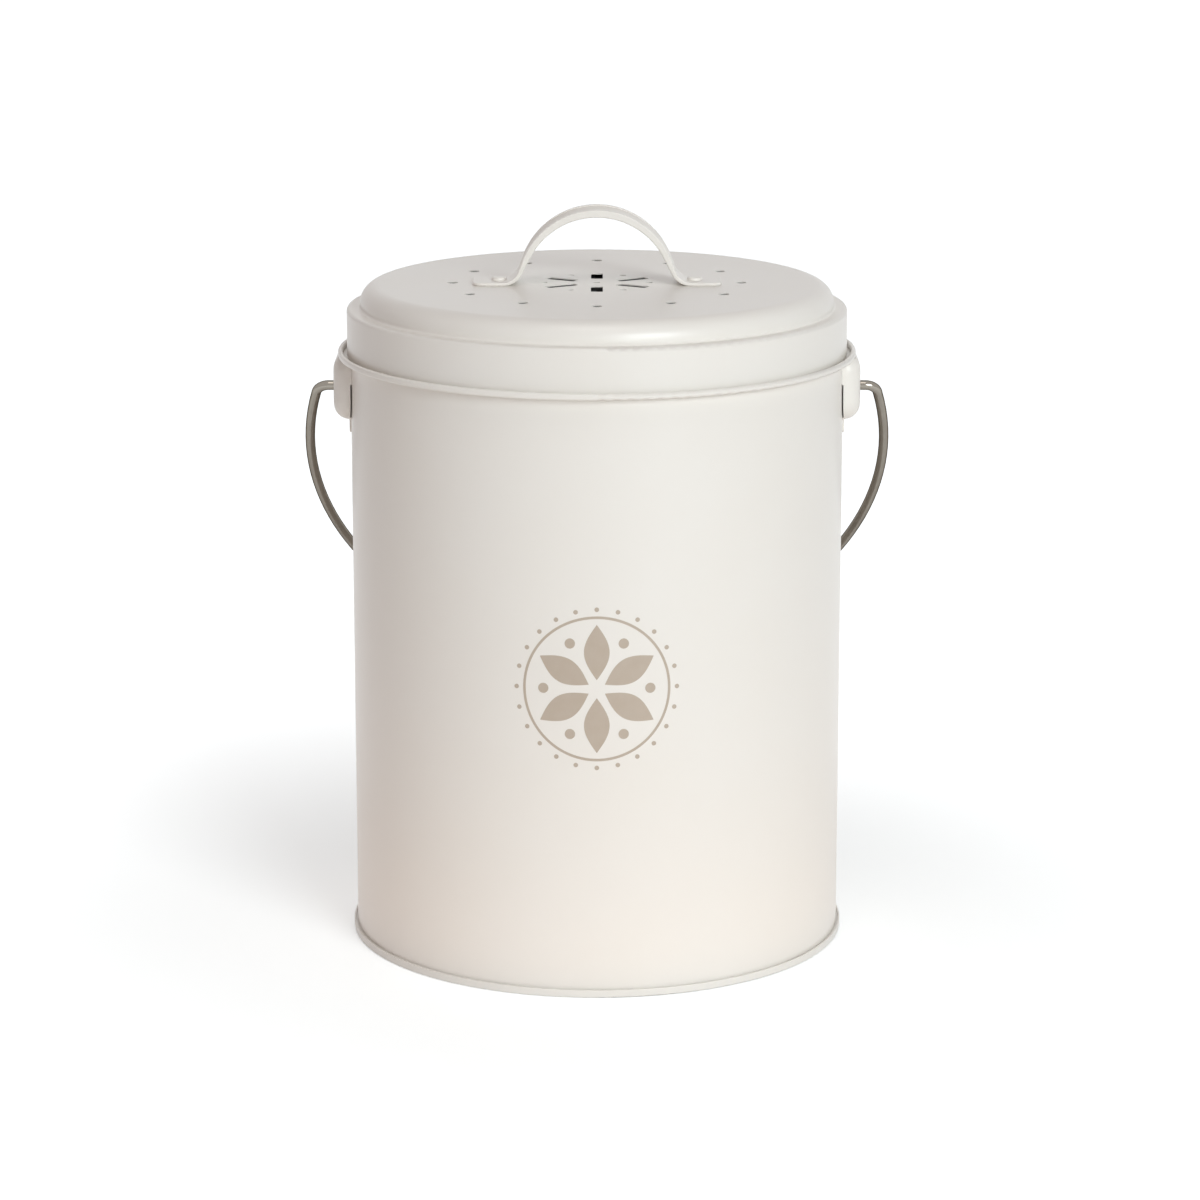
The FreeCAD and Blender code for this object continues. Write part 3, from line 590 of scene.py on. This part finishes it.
    def execute(self, context):
        settings = context.scene.bucket_rosette
        paint = context.scene.bucket_paint
        ink = make_finish(
            "taupe_ink", settings.ink_colour, settings.ink_shade, settings.drift_size,
            settings.ink_roughness, paint.roughness_spread, paint.peel_size, paint.peel_depth,
        )
        tree = self.make_tree(ink)
        sketch = new_piece("rosette_sketch", bpy.data.meshes.new("rosette_sketch"))
        maker = sketch.modifiers.new("rosette", "NODES")
        maker.node_group = tree
        for socket in tree.interface.items_tree:
            if socket.in_out == "INPUT" and socket.name in self.SIZES:
                maker[socket.identifier] = getattr(settings, socket.name)
        drawn = sketch.evaluated_get(context.evaluated_depsgraph_get())
        mesh = bpy.data.meshes.new_from_object(drawn)
        sketch.modifiers.remove(maker)
        bpy.data.objects.remove(sketch)
        mesh.name = "rosette_print"
        bm = bmesh.new()
        bm.from_mesh(mesh)
        for face in bm.faces:
            middle = face.calc_center_median()
            if face.normal.x * middle.x + face.normal.y * middle.y < 0:
                face.normal_flip()
        bmesh.ops.solidify(bm, geom=bm.faces[:], thickness=settings.film + settings.root)
        bm.to_mesh(mesh)
        bm.free()
        piece = new_piece("rosette_print", mesh)
        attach(piece, "bucket")
        return {"FINISHED"}


class BUCKET_OT_set_stage(Operator):
    """Lay the floor, hang the lights and place the camera"""

    bl_idname = "bucket.set_stage"
    bl_label = "Set stage"

    def seen_directly(self, tree):
        """1 for what the camera sees, straight or in a reflection or through glass, and 0 for other light."""
        path = add(tree, "ShaderNodeLightPath").outputs
        both = calc(tree, "MAXIMUM", path["Is Camera Ray"], path["Is Glossy Ray"])
        return calc(tree, "MAXIMUM", both, path["Is Transmission Ray"])

    def lay_floor(self, stage):
        material = bpy.data.materials.new("studio_floor")
        material.use_nodes = True
        tree = material.node_tree
        tree.nodes.clear()
        place = add(tree, "ShaderNodeTexCoord").outputs["Object"]
        away = add(tree, "ShaderNodeVectorMath", {0: place}, operation="LENGTH").outputs["Value"]
        seen = self.seen_directly(tree)
        glow = add(tree, "ShaderNodeMapRange", {
            "Value": away, "From Min": stage.near_reach, "From Max": stage.far_start,
            "To Min": stage.near_glow, "To Max": stage.far_glow,
        }, interpolation_type="SMOOTHSTEP").outputs["Result"]
        bounce = add(tree, "ShaderNodeMapRange", {
            "Value": away, "From Min": 0.0, "From Max": stage.bounce_reach,
            "To Min": stage.bounce_strength, "To Max": 0.0,
        }, interpolation_type="SMOOTHSTEP").outputs["Result"]
        bounce = calc(tree, "MULTIPLY", bounce, calc(tree, "GREATER_THAN", away, stage.bounce_start))
        matt = add(tree, "ShaderNodeBsdfDiffuse", {"Color": solid_colour(stage.floor_colour)})
        thrown = add(tree, "ShaderNodeEmission", {
            "Color": solid_colour(stage.bounce_colour), "Strength": bounce,
        })
        white = add(tree, "ShaderNodeEmission", {
            "Color": solid_colour(stage.glow_colour), "Strength": glow,
        })
        either = add(tree, "ShaderNodeMixShader", {
            0: seen, 1: thrown.outputs["Emission"], 2: white.outputs["Emission"],
        })
        both = add(tree, "ShaderNodeAddShader", {0: matt.outputs["BSDF"], 1: either.outputs["Shader"]})
        below = add(tree, "ShaderNodeNewGeometry").outputs["Backfacing"]
        clear = add(tree, "ShaderNodeBsdfTransparent").outputs["BSDF"]
        one_sided = add(tree, "ShaderNodeMixShader", {0: below, 1: both.outputs["Shader"], 2: clear})
        add(tree, "ShaderNodeOutputMaterial", {"Surface": one_sided.outputs["Shader"]})
        half = stage.floor_size / 2
        mesh = bpy.data.meshes.new("studio_floor")
        corners = [(-half, -half, 0.0), (half, -half, 0.0), (half, half, 0.0), (-half, half, 0.0)]
        mesh.from_pydata(corners, [], [(0, 1, 2, 3)])
        mesh.materials.append(material)
        new_piece("studio_floor", mesh)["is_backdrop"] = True

    def light_room(self, scene, stage):
        world = bpy.data.worlds.new("studio")
        world.use_nodes = True
        tree = world.node_tree
        tree.nodes.clear()
        seen = self.seen_directly(tree)
        direction = add(tree, "ShaderNodeTexCoord").outputs["Generated"]
        way = add(tree, "ShaderNodeSeparateXYZ", {"Vector": direction}).outputs
        lean = calc(tree, "MULTIPLY_ADD", way["X"], -stage.fill_lean, 1.0)
        upward = calc(tree, "MAXIMUM", way["Z"], 0.0)
        lean = calc(tree, "MULTIPLY_ADD", upward, -stage.fill_drop, lean)
        behind = calc(tree, "POWER", calc(tree, "MAXIMUM", way["Y"], 0.0), stage.back_focus)
        fill = add(tree, "ShaderNodeBackground", {
            "Color": solid_colour(stage.fill_colour),
            "Strength": calc(tree, "MULTIPLY", lean, stage.fill_strength),
        })
        rear = add(tree, "ShaderNodeBackground", {
            "Color": solid_colour(stage.back_colour),
            "Strength": calc(tree, "MULTIPLY", behind, stage.back_strength),
        })
        soft = add(tree, "ShaderNodeAddShader", {
            0: fill.outputs["Background"], 1: rear.outputs["Background"],
        })
        white = add(tree, "ShaderNodeBackground", {"Color": WHITE, "Strength": 1.0})
        either = add(tree, "ShaderNodeMixShader", {
            0: seen, 1: soft.outputs["Shader"], 2: white.outputs["Background"],
        })
        add(tree, "ShaderNodeOutputWorld", {"Surface": either.outputs["Shader"]})
        scene.world = world

    def hang_lamp(self, scene, stage, name):
        """A soft light that faces the bucket, from the settings whose names begin with its own."""
        lamp = bpy.data.lights.new(f"{name}_light", "AREA")
        lamp.shape = "ELLIPSE"
        lamp.color = getattr(stage, f"{name}_colour")
        lamp.energy = getattr(stage, f"{name}_power")
        lamp.size = getattr(stage, f"{name}_width")
        lamp.size_y = getattr(stage, f"{name}_height")
        holder = bpy.data.objects.new(f"{name}_light", lamp)
        scene.collection.objects.link(holder)
        side, rise = getattr(stage, f"{name}_side"), getattr(stage, f"{name}_rise")
        flat = math.cos(rise)
        towards = Vector((flat * math.sin(side), -flat * math.cos(side), math.sin(rise)))
        low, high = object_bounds()
        holder.location = (low + high) / 2 + towards * getattr(stage, f"{name}_distance")
        holder.rotation_euler = towards.to_track_quat("Z", "Y").to_euler()

    def place_camera(self, scene, stage):
        lens = bpy.data.cameras.new("camera")
        lens.lens = stage.camera_lens
        lens.sensor_width = stage.camera_sensor
        camera = bpy.data.objects.new("camera", lens)
        scene.collection.objects.link(camera)
        camera.location = stage.camera_place
        camera.rotation_euler = (math.pi / 2 - stage.camera_pitch, 0.0, 0.0)
        scene.camera = camera

    def execute(self, context):
        scene = context.scene
        stage = scene.bucket_stage
        self.lay_floor(stage)
        self.light_room(scene, stage)
        self.hang_lamp(scene, stage, "key")
        self.hang_lamp(scene, stage, "top")
        self.place_camera(scene, stage)
        scene.view_settings.view_transform = "Standard"
        return {"FINISHED"}


class BUCKET_PT_looks(Panel):
    """Lists the steps that dress the bucket"""

    bl_idname = "BUCKET_PT_looks"
    bl_label = "Compost bucket"
    bl_space_type = "VIEW_3D"
    bl_region_type = "UI"
    bl_category = "Bucket"

    def draw(self, context):
        for step in STEPS:
            self.layout.operator(step.bl_idname)


SETTINGS = {
    "bucket_paint": PaintSettings,
    "bucket_wire": WireSettings,
    "bucket_filter": FilterSettings,
    "bucket_rosette": RosetteSettings,
    "bucket_stage": StageSettings,
}
STEPS = (
    BUCKET_OT_paint, BUCKET_OT_plate_wire, BUCKET_OT_fit_filter, BUCKET_OT_print_rosette, BUCKET_OT_set_stage,
)


def register():
    for group in (*SETTINGS.values(), *STEPS, BUCKET_PT_looks):
        bpy.utils.register_class(group)
    for name, group in SETTINGS.items():
        setattr(bpy.types.Scene, name, PointerProperty(type=group))


def unregister():
    for name in SETTINGS:
        delattr(bpy.types.Scene, name)
    for group in (BUCKET_PT_looks, *reversed(STEPS), *reversed(SETTINGS.values())):
        bpy.utils.unregister_class(group)


def main():
    """Dress the bucket."""
    register()
    bpy.ops.bucket.paint()
    bpy.ops.bucket.plate_wire()
    bpy.ops.bucket.fit_filter()
    bpy.ops.bucket.print_rosette()
    bpy.ops.bucket.set_stage()


if __name__ == "__main__":
    main()
